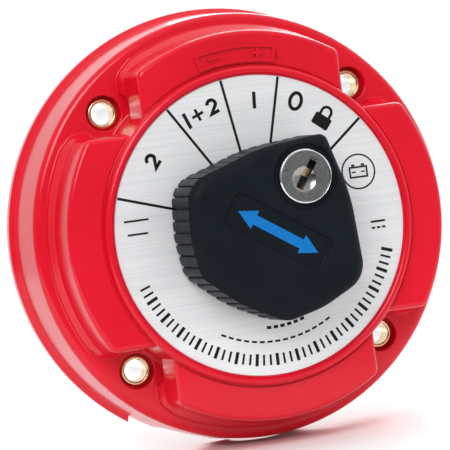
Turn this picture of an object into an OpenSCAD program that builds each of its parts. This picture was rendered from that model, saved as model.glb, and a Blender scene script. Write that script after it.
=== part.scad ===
// Surface-mounted marine battery selector switch with a key lock.
//
// The switch stands upright as it does on a bulkhead: x runs to the right,
// z up and the front faces -y. The origin is the centre of the back face.
// Every module draws its piece lying on its back, with the height above the
// mounting wall along z, and on_wall() turns it upright.

/* [Case] */
// Diameter over the rear rim
case_diameter = 133; // [131:0.5:136]
// Height of the pocket floors above the wall
shelf_height = 25.5; // [25:0.25:26.5]
// Height of the four raised lobes above the wall
lobe_height = 42; // [41.5:0.25:42.25]
// Half width of each lobe at its top edge
lobe_half_width = 30.2; // [29.5:0.1:30.6]
// Thickness of the moulded walls
wall = 2.8; // [2.4:0.1:3.2]
// Number of cable slots along the bottom
cable_slots = 3; // [1:2:3]
// Width of a cable slot
cable_slot_width = 16; // [12:1:18]

/* [Mounting] */
// Distance between mounting holes, across and up
screw_spacing = 75.6; // [75:0.2:76.4]
// Bore of the mounting bushings
screw_bore = 6.6; // [5.5:0.1:6.8]

/* [Dial] */
// Diameter of the dial plate
dial_diameter = 86.6; // [85.6:0.2:87]
// Thickness of the dial plate
dial_thickness = 1; // [0.6:0.1:1.2]

/* [Knob] */
// Height of the knob body
knob_height = 19.8; // [18.5:0.1:21]
// Reach of the knob's pointed end from the axis
knob_reach = 28.6; // [28:0.2:29]
// Depth of the finger flutes
flute_depth = 0.5; // [0.3:0.1:0.6]
// Spacing of the finger flutes
flute_pitch = 3.4; // [3:0.1:4]

/* [Action] */
// Angle between neighbouring switch positions
position_pitch = 28.5; // [28:0.25:28.5]
// Direction of the pointer when off, from the right towards the top
off_angle = 56; // [54:1:58]

/* [Terminals] */
// Diameter of the terminal studs
stud_diameter = 9.52; // [8:0.01:9.6]
// Distance of the studs from the switch axis
stud_radius = 30.5; // [30:0.1:30.8]

/* [Hidden] */
$fn = 64;
overlap = 1;

case_radius = case_diameter / 2;
skirt_radius = case_radius - 1.7;
skirt_top_radius = case_radius - 3.5;
skirt_fillet = 2;
rim_height = 3.6;
rim_step_top = 5.3;

chamber_radius = 37.9;
chamber_ceiling = 38;
chamber_floor = shelf_height - wall + 0.1;
lobe_radius = case_radius - 10.2;
lobe_fillet = 1.5;
plinth_radius = case_radius - 7.2;
plinth_spread = 2.4;
plinth_edge = shelf_height + 1.7;
plinth_top = shelf_height + 4.1;
bezel_radius = 46;
bezel_foot_radius = 47.3;
bezel_crest = lobe_height + 2.6;

boss_offset = screw_spacing / 2;
boss_radius = 7.6;
bushing_radius = screw_bore / 2 + 0.7;
bushing_seat = shelf_height - 3.2;
pocket_radius = 5.4;
plinth_bite_radius = 7.4;

notch_half_width = 37.7;
slot_height = 15;
slot_spacing = 22;

dial_radius = dial_diameter / 2;
dial_bottom = lobe_height + 0.5;
dial_top = dial_bottom + dial_thickness;
dial_hole_radius = 12.5;

base_radius = 45.5;
base_bottom = 17;
gasket_thickness = 0.8;
base_top = chamber_floor - gasket_thickness;
base_screw_circle = 42.5;
base_screw_radius = 1.75;
base_screw_head_radius = 3.4;
base_screw_head = 2.4;
base_screw_top = 33;

plate_thickness = 2.2;
plate_top = base_top + plate_thickness;
sweep_inner_radius = 11.5;
sweep_outer_radius = 27;
common_ring_radius = 18.5;
sector_inner_radius = 20.5;
band_inner_radius = 28.3;
band_outer_radius = 34.5;
pad_radius = 7;
common_stud_angle = 270;
battery_1_stud_angle = 0;
battery_2_stud_angle = 180;

stud_shank_radius = stud_diameter / 2;
stud_thread_radius = stud_shank_radius - 0.25;
stud_end = 2.5;
stud_head_radius = 6.5;
stud_head_bottom = base_top - 2.2;
stud_rivet_radius = 3;
collar_radius = 9.5;
collar_bottom = base_bottom - 1.5;
washer_radius = 8.2;
washer_thickness = 2;
washer_split = 1.2;
nut_across_flats = 14.3;
nut_thickness = 5.5;
nut_top = collar_bottom - washer_thickness;

shaft_radius = 5;
shaft_clearance = 0.05;
shaft_flats = 8.2;
shaft_top = 57;
shaft_foot = base_top + 1.6;
spigot_radius = 3;
spigot_bottom = base_top - 4;
clip_bottom = shaft_foot + 1;
clip_thickness = 0.8;
clip_groove_radius = 4;
seal_height = 40.3;
seal_wire_radius = 0.7;

throw = 3 * position_pitch;
rotor_radius = 30;
rotor_bottom = base_top + 7;
rotor_top = rotor_bottom + 6;
rotor_hub_radius = 9;
rotor_hub_bottom = clip_bottom + clip_thickness;
rotor_hub_top = chamber_ceiling - 0.3;
stop_lug_angle = 200;
stop_lug_spread = 5;
stop_lug_radius = 35;
stop_gap = 0.8;
stop_rib_spread = 4;

wiper_off_angle = 90 - throw / 2;
wiper_half_width = 5;
wiper_bottom = plate_top + 0.15;
wiper_thickness = 2.3;
wiper_top = wiper_bottom + wiper_thickness;
wiper_spring_offsets = [14.2, 24];
spring_coil_radius = 2.5;
spring_wire_radius = 0.4;
spring_pocket_radius = 3.3;
spring_pocket_top = rotor_bottom + 4;
spring_turns = 4;

detent_angle = 30;
detent_bottom = rotor_bottom + 1.5;
detent_top = rotor_top - 0.7;
detent_notch_radius = 1.9;
detent_notch_centre = rotor_radius + 1.2;
detent_bump_radius = 1.7;
detent_leaf = 0.5;
detent_peg_radius = 0.95;
detent_curl_radius = 1.5;
detent_curl_x = 33.5;
detent_curl_y = 13.7;

knob_bottom = dial_top + 0.9;
knob_top = knob_bottom + knob_height;
knob_edge_radius = 3.4;
knob_draft = 0.4;
knob_hub_radius = 6.8;
knob_cavity_radius = 19.8;
knob_cavity_top = knob_bottom + 4.2;
panel_length = 32;
panel_width = 10.2;
panel_corner = 2.5;
panel_depth = 0.6;
panel_offset = -2.2;
shaft_pin_radius = 1.2;
shaft_pin_height = knob_bottom + 2;

// Arcs of the knob's outline, anticlockwise from the tip, each with the place
// of its centre and its radius. The wide arcs make the long sides bulge.
tip_radius = 2.8;
knob_side_arcs = [[-14.5, -17.5, 45], [-2.6, 19.4, 8.5], [2.7, -2.3, 30], [-17.2, 10.9, 6.8]];
knob_corners = concat(
    [[knob_reach - tip_radius, 0, tip_radius]],
    knob_side_arcs,
    [[14.9, 0, 40]],
    [for (i = [3 : -1 : 0]) [knob_side_arcs[i].x, -knob_side_arcs[i].y, knob_side_arcs[i].z]]
);
corner_count = len(knob_corners);

lock_offset = 15.2;
lock_ring_radius = 9.3;
lock_ring_depth = 0.8;
lock_face_radius = 7.65;
lock_face_top = knob_top + 0.1;
lock_face_bottom = knob_top - 1.6;
lock_body_radius = 6.3;
lock_body_bottom = knob_cavity_top - 1;
lock_nut_radius = 7.9;
lock_nut_thickness = 1.8;
plug_head_radius = 6.8;
plug_body_radius = 5.2;
plug_clearance = 0.05;
keyway_length = 9.6;
keyway_inner_length = 8.2;
keyway_width = 2;
keyway_depth = 11;
dish_radius = 3.7;
dish_offset = -1;
dish_depth = 0.5;
tongue_thickness = 1.4;
tongue_bottom = lock_body_bottom - 0.2 - tongue_thickness;
tongue_half_width = 2.2;
tongue_reach = 7.2;
tongue_eye_radius = 3.4;
plug_tail = 3.2;
tongue_screw_radius = 1;
tongue_screw_head_radius = 2.4;
tongue_screw_length = 4;

strike_radius = 12.3;
strike_bore_radius = 5.6;
strike_lug_inner = 8.4;
strike_lug_outer = 11.2;
strike_lug_width = 3;
strike_lug_gap = 0.2;
strike_lug_top = lock_body_bottom - 0.3;
strike_screw_circle = 9.2;
strike_screw_radius = 1.25;
strike_screw_head_radius = 2.3;
strike_screw_angles = [150, 230];

// ---------------------------------------------------------------- helpers

// Stands a piece drawn on its back upright against the wall.
module on_wall() {
    rotate([90, 0, 0])
        children();
}

// Places children at a radius and an angle around the switch axis.
module polar(radius, angle) {
    rotate([0, 0, angle])
        translate([radius, 0, 0])
            children();
}

// Places children at the four mounting holes.
module at_bushings() {
    for (x = [-boss_offset, boss_offset])
        for (y = [-boss_offset, boss_offset])
            translate([x, y, 0])
                children();
}

// Places children at the four screws of the contact base.
module at_base_screws() {
    for (i = [0 : 3])
        polar(base_screw_circle, 45 + 90 * i)
            children();
}

// Places children at the three terminal studs.
module at_studs() {
    for (angle = [common_stud_angle, battery_1_stud_angle, battery_2_stud_angle])
        polar(stud_radius, angle)
            children();
}

// Places children in the knob's own frame, with x along the pointer.
module along_pointer() {
    rotate([0, 0, off_angle])
        children();
}

// Places children on the lock's axis, with x away from the switch axis.
module at_lock() {
    along_pointer()
        translate([lock_offset, 0, 0])
            children();
}

module disc(radius, bottom, top) {
    translate([0, 0, bottom])
        cylinder(h = top - bottom, r = radius);
}

module ring(outer, inner, bottom, top) {
    difference() {
        disc(outer, bottom, top);
        disc(inner, bottom - overlap, top + overlap);
    }
}

// Part of a ring between two angles that are less than half a turn apart.
module arc_block(inner, outer, from, to, bottom, top) {
    steps = ceil((to - from) / 45);
    reach = 2 * outer;
    rim = [
        for (k = [0 : steps])
            let (angle = from + (to - from) * k / steps)
            [reach * cos(angle), reach * sin(angle)]
    ];
    intersection() {
        ring(outer, inner, bottom, top);
        translate([0, 0, bottom - overlap])
            linear_extrude(height = top - bottom + 2 * overlap)
                polygon(concat([[0, 0]], rim));
    }
}

// Round bar with two flats, the section that turns the rotor and the knob.
module flatted_bar(radius, across, bottom, top) {
    intersection() {
        disc(radius, bottom, top);
        translate([-radius, -across / 2, bottom])
            cube([2 * radius, across, top - bottom]);
    }
}

// Driver slot across a screw head whose face is at height 0. It is as deep
// above that face as below it.
module screw_slot(head_radius, width, depth) {
    translate([-head_radius - overlap, -width / 2, -depth])
        cube([2 * (head_radius + overlap), width, 2 * depth]);
}

// Extrudes a profile drawn as [sideways, height] along the y axis.
module along_y(length) {
    translate([0, length / 2, 0])
        rotate([90, 0, 0])
            linear_extrude(height = length)
                children();
}

// ------------------------------------------------------------- front cover

// Half section of the skirt and the shelf, up to the pocket floor.
module skirt_profile() {
    polygon([
        [0, 0],
        [case_radius, 0],
        [case_radius, rim_height],
        [skirt_radius, rim_step_top],
        [skirt_top_radius, shelf_height - skirt_fillet],
        [skirt_top_radius - skirt_fillet, shelf_height],
        [0, shelf_height]
    ]);
    translate([skirt_top_radius - skirt_fillet, shelf_height - skirt_fillet])
        circle(r = skirt_fillet);
}

// Section of a lobe and its plinth, for a wall that starts at the given
// distance and ends at the given distance at the top edge.
module lobe_profile(foot, edge) {
    polygon([
        [0, shelf_height - overlap],
        [foot, shelf_height - overlap],
        [foot, plinth_edge],
        [foot - plinth_spread / 2, plinth_top],
        [edge, lobe_height - lobe_fillet],
        [edge - lobe_fillet, lobe_height],
        [0, lobe_height]
    ]);
    translate([edge - lobe_fillet, lobe_height - lobe_fillet])
        circle(r = lobe_fillet);
}

// Cross-shaped bar with the lobes' drafted side walls.
module lobe_cross() {
    for (turn = [0, 90])
        rotate([0, 0, turn])
            along_y(2 * case_radius)
                for (side = [0, 1])
                    mirror([side, 0])
                        lobe_profile(lobe_half_width + plinth_spread, lobe_half_width);
}

module lobes() {
    intersection() {
        rotate_extrude()
            intersection() {
                lobe_profile(plinth_radius, lobe_radius);
                square([case_radius, 2 * lobe_height]);
            }
        lobe_cross();
    }
}

// Half section of the round wall and rolled lip around the dial.
module bezel_profile() {
    lip_width = bezel_radius - dial_radius;
    lip_radius = lip_width / 2;
    polygon([
        [0, shelf_height - overlap],
        [bezel_foot_radius, shelf_height - overlap],
        [bezel_radius, lobe_height],
        [bezel_radius, bezel_crest - lip_radius],
        [0, bezel_crest - lip_radius]
    ]);
    translate([bezel_radius - lip_radius, bezel_crest - lip_radius])
        circle(r = lip_radius);
}

// Open space behind the shelf where the cables reach the studs.
module wiring_chamber() {
    difference() {
        rotate_extrude()
            polygon([
                [0, -overlap],
                [case_radius - wall - 2, -overlap],
                [case_radius - wall - 2, rim_height],
                [skirt_top_radius - wall - 0.5, chamber_floor],
                [0, chamber_floor]
            ]);
        at_bushings()
            disc(boss_radius, -2 * overlap, shelf_height);
    }
}

// Hollow undersides of the lobes, outside the ring that the base screws to.
module lobe_hollows() {
    hollow_half_width = lobe_half_width - wall - 0.5;
    intersection() {
        rotate_extrude()
            polygon([
                [base_radius, chamber_floor - overlap],
                [plinth_radius - wall - 2, chamber_floor - overlap],
                [plinth_radius - wall - 2, plinth_edge - wall],
                [lobe_radius - wall - 0.4, lobe_height - wall],
                [base_radius, lobe_height - wall]
            ]);
        for (turn = [0, 90])
            rotate([0, 0, turn])
                translate([-hollow_half_width, -case_radius, 0])
                    cube([2 * hollow_half_width, 2 * case_radius, lobe_height]);
    }
}

// Cut-out in the rear rim and the cable slots above it.
module cable_entry() {
    translate([-notch_half_width, -case_radius - overlap, -overlap])
        cube([2 * notch_half_width, case_radius - 45, rim_step_top + overlap]);
    slot_radius = cable_slot_width / 2;
    last = (cable_slots - 1) / 2;
    for (i = [-last : last])
        translate([i * slot_spacing, -case_radius, slot_height - slot_radius])
            along_y(36) {
                circle(r = slot_radius);
                translate([-slot_radius, -slot_height])
                    square([cable_slot_width, slot_height]);
            }
}

// Ribs that stop the rotor at the first and last positions.
module rotor_stops() {
    first = stop_lug_angle - stop_lug_spread - stop_gap;
    last = stop_lug_angle + throw + stop_lug_spread + stop_gap;
    for (from = [first - stop_rib_spread, last])
        arc_block(rotor_radius + 1.5, chamber_radius + 0.6, from,
            from + stop_rib_spread, plate_top + 1.8, chamber_ceiling + overlap);
}

// Pegs that the ends of the detent spring curl around.
module detent_pegs() {
    rotate([0, 0, detent_angle])
        for (y = [-detent_curl_y, detent_curl_y])
            translate([detent_curl_x, y, 0])
                disc(detent_peg_radius, detent_bottom, chamber_ceiling + overlap);
}

module front_cover() {
    color([0.83, 0.09, 0.13])
        on_wall() {
            difference() {
                union() {
                    rotate_extrude()
                        intersection() {
                            skirt_profile();
                            square([case_radius, shelf_height]);
                        }
                    difference() {
                        lobes();
                        at_bushings()
                            disc(plinth_bite_radius, shelf_height, plinth_top + 1.5);
                    }
                    rotate_extrude()
                        bezel_profile();
                }
                wiring_chamber();
                lobe_hollows();
                cable_entry();
                disc(chamber_radius, chamber_floor - overlap, chamber_ceiling);
                disc(shaft_radius + shaft_clearance, chamber_ceiling - overlap, dial_top);
                disc(dial_radius + 0.05, dial_bottom, bezel_crest + overlap);
                at_bushings() {
                    disc(pocket_radius, bushing_seat, shelf_height + overlap);
                    disc(bushing_radius, -overlap, bushing_seat + overlap);
                }
                at_base_screws()
                    disc(base_screw_radius, chamber_floor - overlap, base_screw_top + 1);
                along_pointer()
                    for (angle = strike_screw_angles)
                        polar(strike_screw_circle, angle)
                            disc(strike_screw_radius, chamber_ceiling - overlap, dial_top);
            }
            rotor_stops();
            detent_pegs();
        }
}

// ------------------------------------------- pieces fixed to the front

module dial_plate() {
    color([0.86, 0.87, 0.88])
        on_wall()
            ring(dial_radius, dial_hole_radius, dial_bottom, dial_top);
}

// Brass tubes with a rolled rim that the mounting screws pass through.
module mounting_bushings() {
    rolled_radius = 0.6;
    color([0.85, 0.68, 0.36])
        on_wall()
            at_bushings()
                rotate_extrude() {
                    translate([screw_bore / 2, 0])
                        square([bushing_radius - screw_bore / 2, bushing_seat + rolled_radius]);
                    translate([screw_bore / 2 + rolled_radius, bushing_seat + rolled_radius])
                        circle(r = rolled_radius);
                }
}

// Washer under the knob with the lug that the lock's tongue closes against.
module lock_strike() {
    color([0.72, 0.73, 0.75])
        on_wall()
            along_pointer() {
                difference() {
                    ring(strike_radius, strike_bore_radius, dial_bottom, dial_top);
                    for (angle = strike_screw_angles)
                        polar(strike_screw_circle, angle)
                            strike_screw();
                }
                intersection() {
                    ring(strike_lug_outer, strike_lug_inner, dial_bottom, strike_lug_top);
                    translate([0, tongue_half_width + strike_lug_gap, dial_bottom])
                        cube([strike_lug_outer, strike_lug_width, knob_height]);
                }
            }
}

module strike_screw() {
    head_height = 0.9;
    disc(strike_screw_radius, chamber_ceiling + 0.6, dial_top - head_height / 2);
    translate([0, 0, dial_top - head_height])
        cylinder(h = head_height, r1 = strike_screw_radius, r2 = strike_screw_head_radius);
}

module strike_screws() {
    color([0.78, 0.78, 0.8])
        on_wall()
            along_pointer()
                for (angle = strike_screw_angles)
                    polar(strike_screw_circle, angle)
                        difference() {
                            strike_screw();
                            translate([0, 0, dial_top])
                                screw_slot(strike_screw_head_radius, 0.6, 0.4);
                        }
}

// ------------------------------------------------ base and fixed contacts

module contact_base() {
    color([0.13, 0.12, 0.11])
        on_wall()
            difference() {
                union() {
                    disc(base_radius, base_bottom, base_top);
                    at_studs()
                        disc(collar_radius, collar_bottom, base_bottom + overlap);
                }
                at_studs() {
                    disc(stud_shank_radius + 0.1, 0, base_top + overlap);
                    disc(stud_head_radius + 0.1, stud_head_bottom, base_top + overlap);
                }
                at_base_screws()
                    disc(base_screw_radius + 0.25, 0, base_top + overlap);
                disc(spigot_radius + shaft_clearance, 0, base_top + overlap);
            }
}

module base_gasket() {
    color([0.07, 0.07, 0.07])
        on_wall()
            difference() {
                ring(base_radius - 0.2, chamber_radius + 0.4, base_top, chamber_floor);
                at_base_screws()
                    disc(base_screw_radius + 0.25, base_top - overlap, chamber_floor + overlap);
            }
}

module base_screws() {
    head_bottom = base_bottom - base_screw_head;
    color([0.8, 0.8, 0.82])
        on_wall()
            at_base_screws()
                difference() {
                    union() {
                        disc(base_screw_radius, base_bottom - overlap, base_screw_top);
                        disc(base_screw_head_radius, head_bottom, base_bottom);
                    }
                    translate([0, 0, head_bottom])
                        screw_slot(base_screw_head_radius, 1, 1.2);
                }
}

// Copper plate between two angles, with a band round to its stud. The band
// is what stays of the whole ring once its inner part is cut away.
module battery_plate(sector_from, sector_to, stud_angle) {
    into_pad = 6;
    band_first = stud_angle < sector_from;
    band_from = band_first ? stud_angle + into_pad : sector_from;
    band_to = band_first ? sector_to : stud_angle - into_pad;
    cut_from = band_first ? stud_angle - 1 : sector_to;
    cut_to = band_first ? sector_from : stud_angle + 1;
    difference() {
        union() {
            difference() {
                arc_block(sector_inner_radius, band_outer_radius, band_from, band_to,
                    base_top, plate_top);
                arc_block(sector_inner_radius - overlap, band_inner_radius, cut_from, cut_to,
                    base_top - overlap, plate_top + overlap);
            }
            polar(stud_radius, stud_angle)
                disc(pad_radius, base_top, plate_top);
        }
        polar(stud_radius, stud_angle)
            disc(stud_rivet_radius, base_top - overlap, plate_top + overlap);
    }
}

module common_contact() {
    arm_half_width = 6;
    color([0.78, 0.45, 0.28])
        on_wall()
            difference() {
                union() {
                    disc(common_ring_radius, base_top, plate_top);
                    rotate([0, 0, common_stud_angle])
                        translate([0, -arm_half_width, base_top])
                            cube([stud_radius, 2 * arm_half_width, plate_thickness]);
                    polar(stud_radius, common_stud_angle)
                        disc(pad_radius, base_top, plate_top);
                }
                disc(sweep_inner_radius, base_top - overlap, plate_top + overlap);
                polar(stud_radius, common_stud_angle)
                    disc(stud_rivet_radius, base_top - overlap, plate_top + overlap);
            }
}

module battery_1_contact() {
    from = wiper_off_angle + 16;
    color([0.78, 0.45, 0.28])
        on_wall()
            battery_plate(from, from + 39, battery_1_stud_angle);
}

module battery_2_contact() {
    from = wiper_off_angle + 59;
    color([0.78, 0.45, 0.28])
        on_wall()
            battery_plate(from, from + 39, battery_2_stud_angle);
}

module terminal_studs() {
    bevel = 0.9;
    color([0.79, 0.78, 0.74])
        on_wall()
            at_studs() {
                disc(stud_shank_radius, stud_end + bevel, nut_top - nut_thickness - 0.2);
                disc(stud_thread_radius, stud_end + bevel, stud_head_bottom + overlap);
                translate([0, 0, stud_end])
                    cylinder(h = bevel, r1 = stud_shank_radius - bevel, r2 = stud_shank_radius);
                disc(stud_head_radius, stud_head_bottom, base_top);
                disc(stud_rivet_radius, base_top - overlap, plate_top);
            }
}

// Split spring washers under the nuts.
module terminal_washers() {
    color([0.74, 0.74, 0.75])
        on_wall()
            at_studs()
                difference() {
                    ring(washer_radius, stud_shank_radius + 0.1, nut_top, collar_bottom);
                    rotate([0, 0, 35])
                        translate([0, -washer_split / 2, nut_top - overlap])
                            cube([washer_radius + overlap, washer_split,
                                washer_thickness + 2 * overlap]);
                }
}

module terminal_nuts() {
    corner_radius = nut_across_flats / sqrt(3);
    color([0.82, 0.8, 0.74])
        on_wall()
            at_studs()
                difference() {
                    translate([0, 0, nut_top - nut_thickness])
                        cylinder(h = nut_thickness, r = corner_radius, $fn = 6);
                    disc(stud_thread_radius, 0, nut_top + overlap);
                }
}

// ------------------------------------------------------------ detent

// Straight strip from the bump in the middle to the curl at one end.
module detent_strip(bump_x) {
    leaf_x = bump_x + 0.9;
    leaf_end = detent_curl_y - detent_curl_radius + 0.3;
    translate([0, 0, detent_bottom])
        linear_extrude(height = detent_top - detent_bottom)
            polygon([
                [leaf_x - detent_leaf, 1.1],
                [leaf_x, 0.9],
                [detent_curl_x + detent_leaf, leaf_end],
                [detent_curl_x, leaf_end]
            ]);
}

// Leaf that clicks into the rotor: a bump in the middle and curled ends.
module detent_spring() {
    bump_x = detent_notch_centre + 0.1;
    color([0.7, 0.71, 0.73])
        on_wall()
            rotate([0, 0, detent_angle])
                difference() {
                    union() {
                        translate([bump_x, 0, 0])
                            disc(detent_bump_radius, detent_bottom, detent_top);
                        for (side = [0, 1])
                            mirror([0, side, 0]) {
                                detent_strip(bump_x);
                                translate([detent_curl_x, detent_curl_y, 0])
                                    disc(detent_curl_radius, detent_bottom, detent_top);
                            }
                    }
                    translate([bump_x, 0, 0])
                        disc(detent_bump_radius - detent_leaf, 0, knob_top);
                    translate([bump_x + 1.1, -detent_bump_radius, 0])
                        cube([detent_bump_radius, 2 * detent_bump_radius, knob_top]);
                    for (y = [-detent_curl_y, detent_curl_y])
                        translate([detent_curl_x, y, 0])
                            disc(detent_curl_radius - detent_leaf, 0, knob_top);
                }
}

// ------------------------------------------------------------ knob

// Direction of the outward normal of the outline's side that starts at a
// corner. It allows for the two corners having different radii.
function side_normal(i) =
    let (
        p = knob_corners[i],
        q = knob_corners[(i + 1) % corner_count],
        span = norm([q.x - p.x, q.y - p.y])
    )
    atan2(q.y - p.y, q.x - p.x) - 90 + asin((p.z - q.z) / span);

// Point at a distance outwards from a corner's centre.
function outward(corner, angle, distance) =
    [corner.x + distance * cos(angle), corner.y + distance * sin(angle)];

// Length of the straight side that starts at a corner.
function side_length(i) =
    let (
        p = knob_corners[i],
        q = knob_corners[(i + 1) % corner_count],
        normal = side_normal(i)
    )
    norm(outward(q, normal, q.z) - outward(p, normal, p.z));

// Angle that the outline turns through at a corner.
function corner_turn(i) =
    let (turn = side_normal(i) - side_normal((i + corner_count - 1) % corner_count))
    turn - 360 * floor(turn / 360);

// Outward direction at a share of the way round a corner.
function corner_angle(i, share) = side_normal(i) - (1 - share) * corner_turn(i);

function corner_length(i) = knob_corners[i].z * corner_turn(i) * PI / 180;

function outline_length(i = 0) =
    i == corner_count ? 0 : corner_length(i) + side_length(i) + outline_length(i + 1);

// Place and outward direction at a distance round the outline.
function along_outline(distance, i = 0) =
    let (corner = knob_corners[i], past = distance - corner_length(i))
    past <= 0
    ? let (angle = corner_angle(i, distance / corner_length(i)))
        [each outward(corner, angle, corner.z), angle]
    : past <= side_length(i)
    ? let (normal = side_normal(i), start = outward(corner, normal, corner.z))
        [start.x - past * sin(normal), start.y + past * cos(normal), normal]
    : along_outline(past - side_length(i), i + 1);

// The knob's outline, drawn in by a distance.
module knob_outline(inset) {
    polygon([
        for (i = [0 : corner_count - 1])
            let (steps = ceil(corner_turn(i) / 9), corner = knob_corners[i])
                for (k = [0 : steps])
                    outward(corner, corner_angle(i, k / steps), max(0.1, corner.z - inset))
    ]);
}

// The knob without its flutes and holes: a drafted wall that rounds over at
// its top edge to the flat face.
module knob_body() {
    layer = 0.3;
    wall_height = knob_height - knob_edge_radius;
    hull() {
        linear_extrude(height = layer)
            knob_outline(0);
        for (lean = [0 : 30 : 90])
            translate([0, 0, wall_height + knob_edge_radius * sin(lean) - layer])
                linear_extrude(height = layer)
                    knob_outline(knob_draft + knob_edge_radius * (1 - cos(lean)));
    }
}

// Upright grooves all round the knob.
module knob_flutes() {
    groove_radius = 1.1;
    lean = atan(knob_draft / (knob_height - knob_edge_radius));
    count = round(outline_length() / flute_pitch);
    for (k = [0 : count - 1]) {
        place = along_outline((k + 0.5) * outline_length() / count);
        translate([place.x, place.y, 0])
            rotate([0, 0, place.z])
                translate([groove_radius - flute_depth, 0, 0])
                    rotate([0, -lean, 0])
                        disc(groove_radius, -overlap, knob_height - knob_edge_radius);
    }
}

// Shallow rounded recess across the knob for the maker's plate.
module name_panel() {
    half_x = panel_width / 2 - panel_corner;
    half_y = panel_length / 2 - panel_corner;
    translate([panel_offset, 0, knob_top - panel_depth])
        linear_extrude(height = 2) {
            square([2 * half_x, panel_length], center = true);
            square([panel_width, 2 * half_y], center = true);
            for (x = [-half_x, half_x])
                for (y = [-half_y, half_y])
                    translate([x, y])
                        circle(r = panel_corner);
        }
}

module knob() {
    color([0.1, 0.11, 0.13])
        on_wall()
            along_pointer()
                difference() {
                    translate([0, 0, knob_bottom])
                        difference() {
                            knob_body();
                            knob_flutes();
                        }
                    ring(knob_cavity_radius, knob_hub_radius, knob_bottom - overlap,
                        knob_cavity_top);
                    flatted_bar(shaft_radius, shaft_flats, knob_bottom - overlap, shaft_top);
                    shaft_pin_bar(knob_hub_radius + overlap);
                    name_panel();
                    translate([lock_offset, 0, 0]) {
                        disc(lock_ring_radius, knob_top - lock_ring_depth, knob_top + overlap);
                        disc(lock_face_radius, lock_face_bottom, knob_top + overlap);
                        disc(lock_body_radius, knob_cavity_top, knob_top);
                        disc(lock_nut_radius + 0.25, knob_bottom - overlap,
                            knob_cavity_top + lock_nut_thickness);
                    }
                }
}

// ------------------------------------------------ pieces behind the knob

module shaft_pin_bar(half_length) {
    translate([0, 0, shaft_pin_height])
        along_y(2 * half_length)
            circle(r = shaft_pin_radius);
}

module drive_shaft() {
    color([0.75, 0.76, 0.78])
        on_wall()
            along_pointer()
                difference() {
                    union() {
                        flatted_bar(shaft_radius, shaft_flats, clip_bottom, shaft_top);
                        disc(shaft_radius, shaft_foot, clip_bottom);
                        disc(shaft_radius, rotor_hub_top, dial_top);
                        disc(spigot_radius, spigot_bottom, shaft_foot + overlap);
                    }
                    ring(shaft_radius + overlap, clip_groove_radius, clip_bottom,
                        clip_bottom + clip_thickness);
                    ring(shaft_radius + overlap, shaft_radius - 2 * seal_wire_radius,
                        seal_height - 0.9, seal_height + 0.9);
                    shaft_pin_bar(shaft_radius + overlap);
                }
}

module shaft_pin() {
    color([0.7, 0.71, 0.73])
        on_wall()
            along_pointer()
                shaft_pin_bar(knob_hub_radius - 0.2);
}

module shaft_seal() {
    color([0.06, 0.06, 0.06])
        on_wall()
            translate([0, 0, seal_height])
                rotate_extrude()
                    translate([shaft_radius - seal_wire_radius, 0])
                        circle(r = seal_wire_radius);
}

module rotor() {
    guide_inner = wiper_half_width + 0.2;
    guide_width = 2;
    color([0.92, 0.9, 0.84])
        on_wall()
            difference() {
                union() {
                    disc(rotor_radius, rotor_bottom, rotor_top);
                    disc(rotor_hub_radius, rotor_hub_bottom, rotor_hub_top);
                    arc_block(rotor_radius - overlap, stop_lug_radius,
                        stop_lug_angle - stop_lug_spread, stop_lug_angle + stop_lug_spread,
                        rotor_bottom + 1, rotor_top - 0.5);
                    rotate([0, 0, wiper_off_angle])
                        for (side = [0, 1])
                            mirror([0, side, 0])
                                translate([sweep_inner_radius, guide_inner, wiper_bottom + 0.8])
                                    cube([sweep_outer_radius - sweep_inner_radius, guide_width,
                                        rotor_bottom - wiper_bottom]);
                }
                along_pointer()
                    flatted_bar(shaft_radius, shaft_flats, 0, knob_top);
                for (k = [0 : 3])
                    polar(detent_notch_centre, detent_angle - k * position_pitch)
                        disc(detent_notch_radius, rotor_bottom - overlap, rotor_top + overlap);
                rotate([0, 0, wiper_off_angle])
                    for (x = wiper_spring_offsets)
                        translate([x, 0, 0])
                            disc(spring_pocket_radius, rotor_bottom - overlap, spring_pocket_top);
            }
}

// Open ring snapped into the shaft's groove below the rotor.
module rotor_clip() {
    color([0.66, 0.67, 0.7])
        on_wall()
            along_pointer()
                difference() {
                    ring(7, clip_groove_radius, clip_bottom, clip_bottom + clip_thickness);
                    translate([0, -2.6, clip_bottom - overlap])
                        cube([8, 5.2, clip_thickness + 2 * overlap]);
                }
}

module moving_contact() {
    peg_radius = 1.8;
    color([0.8, 0.47, 0.3])
        on_wall()
            rotate([0, 0, wiper_off_angle]) {
                translate([sweep_inner_radius, -wiper_half_width, wiper_bottom])
                    cube([sweep_outer_radius - sweep_inner_radius, 2 * wiper_half_width,
                        wiper_thickness]);
                for (x = wiper_spring_offsets)
                    translate([x, 0, 0])
                        disc(peg_radius, wiper_top - overlap, wiper_top + 1);
            }
}

// One coil spring, built from half rings that each climb half a turn.
module coil_spring(height) {
    half_turns = 2 * spring_turns;
    climb = height / half_turns;
    tilt = asin(climb / (2 * spring_coil_radius));
    for (k = [0 : half_turns - 1]) {
        side = k % 2;
        translate([0, 0, (k + 0.5) * climb])
            rotate([0, 0, 180 * side])
                rotate([0, tilt, 0])
                    rotate_extrude(angle = 180)
                        translate([spring_coil_radius, 0])
                            circle(r = spring_wire_radius);
        translate([(1 - 2 * side) * spring_coil_radius * cos(tilt), 0, k * climb])
            sphere(r = spring_wire_radius * 1.1);
    }
}

// Coil springs that press the moving contact onto the plates.
module contact_springs() {
    coil_bottom = wiper_top + 0.5;
    coil_height = spring_pocket_top - coil_bottom - 0.5;
    color([0.62, 0.63, 0.66])
        on_wall()
            rotate([0, 0, wiper_off_angle])
                for (x = wiper_spring_offsets)
                    translate([x, 0, coil_bottom])
                        coil_spring(coil_height);
}

// ------------------------------------------------------------ key lock

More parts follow.
